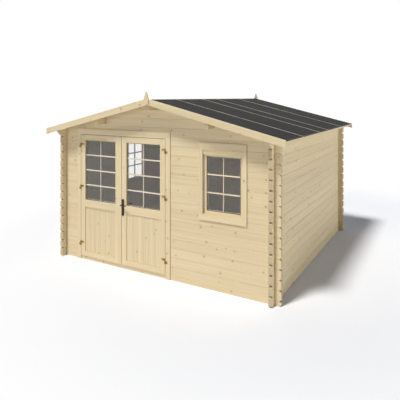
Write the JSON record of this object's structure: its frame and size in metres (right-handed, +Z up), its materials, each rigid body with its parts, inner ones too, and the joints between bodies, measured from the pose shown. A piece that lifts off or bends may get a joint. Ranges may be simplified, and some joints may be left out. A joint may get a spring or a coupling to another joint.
{
  "type": "log cabin",
  "caption": "Small single-room log cabin with notched corner logs, low gable roof in dark felt, glazed double doors and a recessed window.",
  "frame": {"origin": "bottom centre of the cabin's overall box, on the ground under the middle of the room", "axes": "+Z up, -Y out through the double doors, +X to the right when facing the doors from outside, along the ridge's normal"},
  "size_m": [3.8962, 3.8564, 2.55],
  "materials": {
    "log_timber": "matte",
    "joinery": "satin",
    "roof_trim": "matte",
    "boards": "matte",
    "roof_felt": "matte",
    "glass": "gloss",
    "hinge_brass": "satin",
    "dark_handle": "satin",
    "threshold_metal": "satin"
  },
  "bodies": {
    "cabin": {"sill_logs": "log_timber", "front_left_logs": "log_timber", "front_right_logs": "log_timber", "front_gable_logs": "log_timber", "back_wall_logs": "log_timber", "back_gable_logs": "log_timber", "left_wall_logs": "log_timber", "right_wall_logs": "log_timber", "ridge_purlin": "log_timber", "side_purlins": "log_timber", "left_roof_deck": "boards", "right_roof_deck": "boards", "left_roof_felt": "roof_felt", "right_roof_felt": "roof_felt", "front_bargeboards": "roof_trim", "rear_bargeboards": "roof_trim", "eave_fascias": "roof_trim", "finials": "roof_trim", "floor_bearers": "boards", "floor_boards": "boards", "door_frame": "joinery", "door_casing": "joinery", "door_threshold": "threshold_metal", "hinge_posts": "hinge_brass", "front_window_frame": "joinery", "front_window_sash": "joinery", "front_window_glass": "glass", "front_window_casing": "joinery", "left_window_frame": "joinery", "left_window_sash": "joinery", "left_window_glass": "glass", "left_window_casing": "joinery"},
    "left_door": {"left_door_stiles": "joinery", "left_door_rails": "joinery", "left_door_panel": "joinery", "left_door_glass": "glass", "left_door_hinges": "hinge_brass"},
    "right_door": {"right_door_stiles": "joinery", "right_door_rails": "joinery", "right_door_panel": "joinery", "right_door_glass": "glass", "right_door_hinges": "hinge_brass", "lock_plates": "dark_handle"},
    "lever": {"door_lever": "dark_handle"}
  },
  "joints": [
    {"name": "left_door_hinge", "type": "hinge", "parent": "cabin", "child": "left_door", "pos_m": [-1.373, -1.7495, 0.9], "axis": [0, 0, -1], "range_deg": [0, 110]},
    {"name": "right_door_hinge", "type": "hinge", "parent": "cabin", "child": "right_door", "pos_m": [0.187, -1.7495, 0.9], "axis": [0, 0, 1], "range_deg": [0, 110]},
    {"name": "lever_turn", "type": "hinge", "parent": "right_door", "child": "lever", "pos_m": [-0.5485, -1.7175, 0.926], "axis": [0, 1, 0], "range_deg": [0, 40], "stiffness_Nm_per_rad": 1.2, "springref_deg": -22.92}
  ]
}
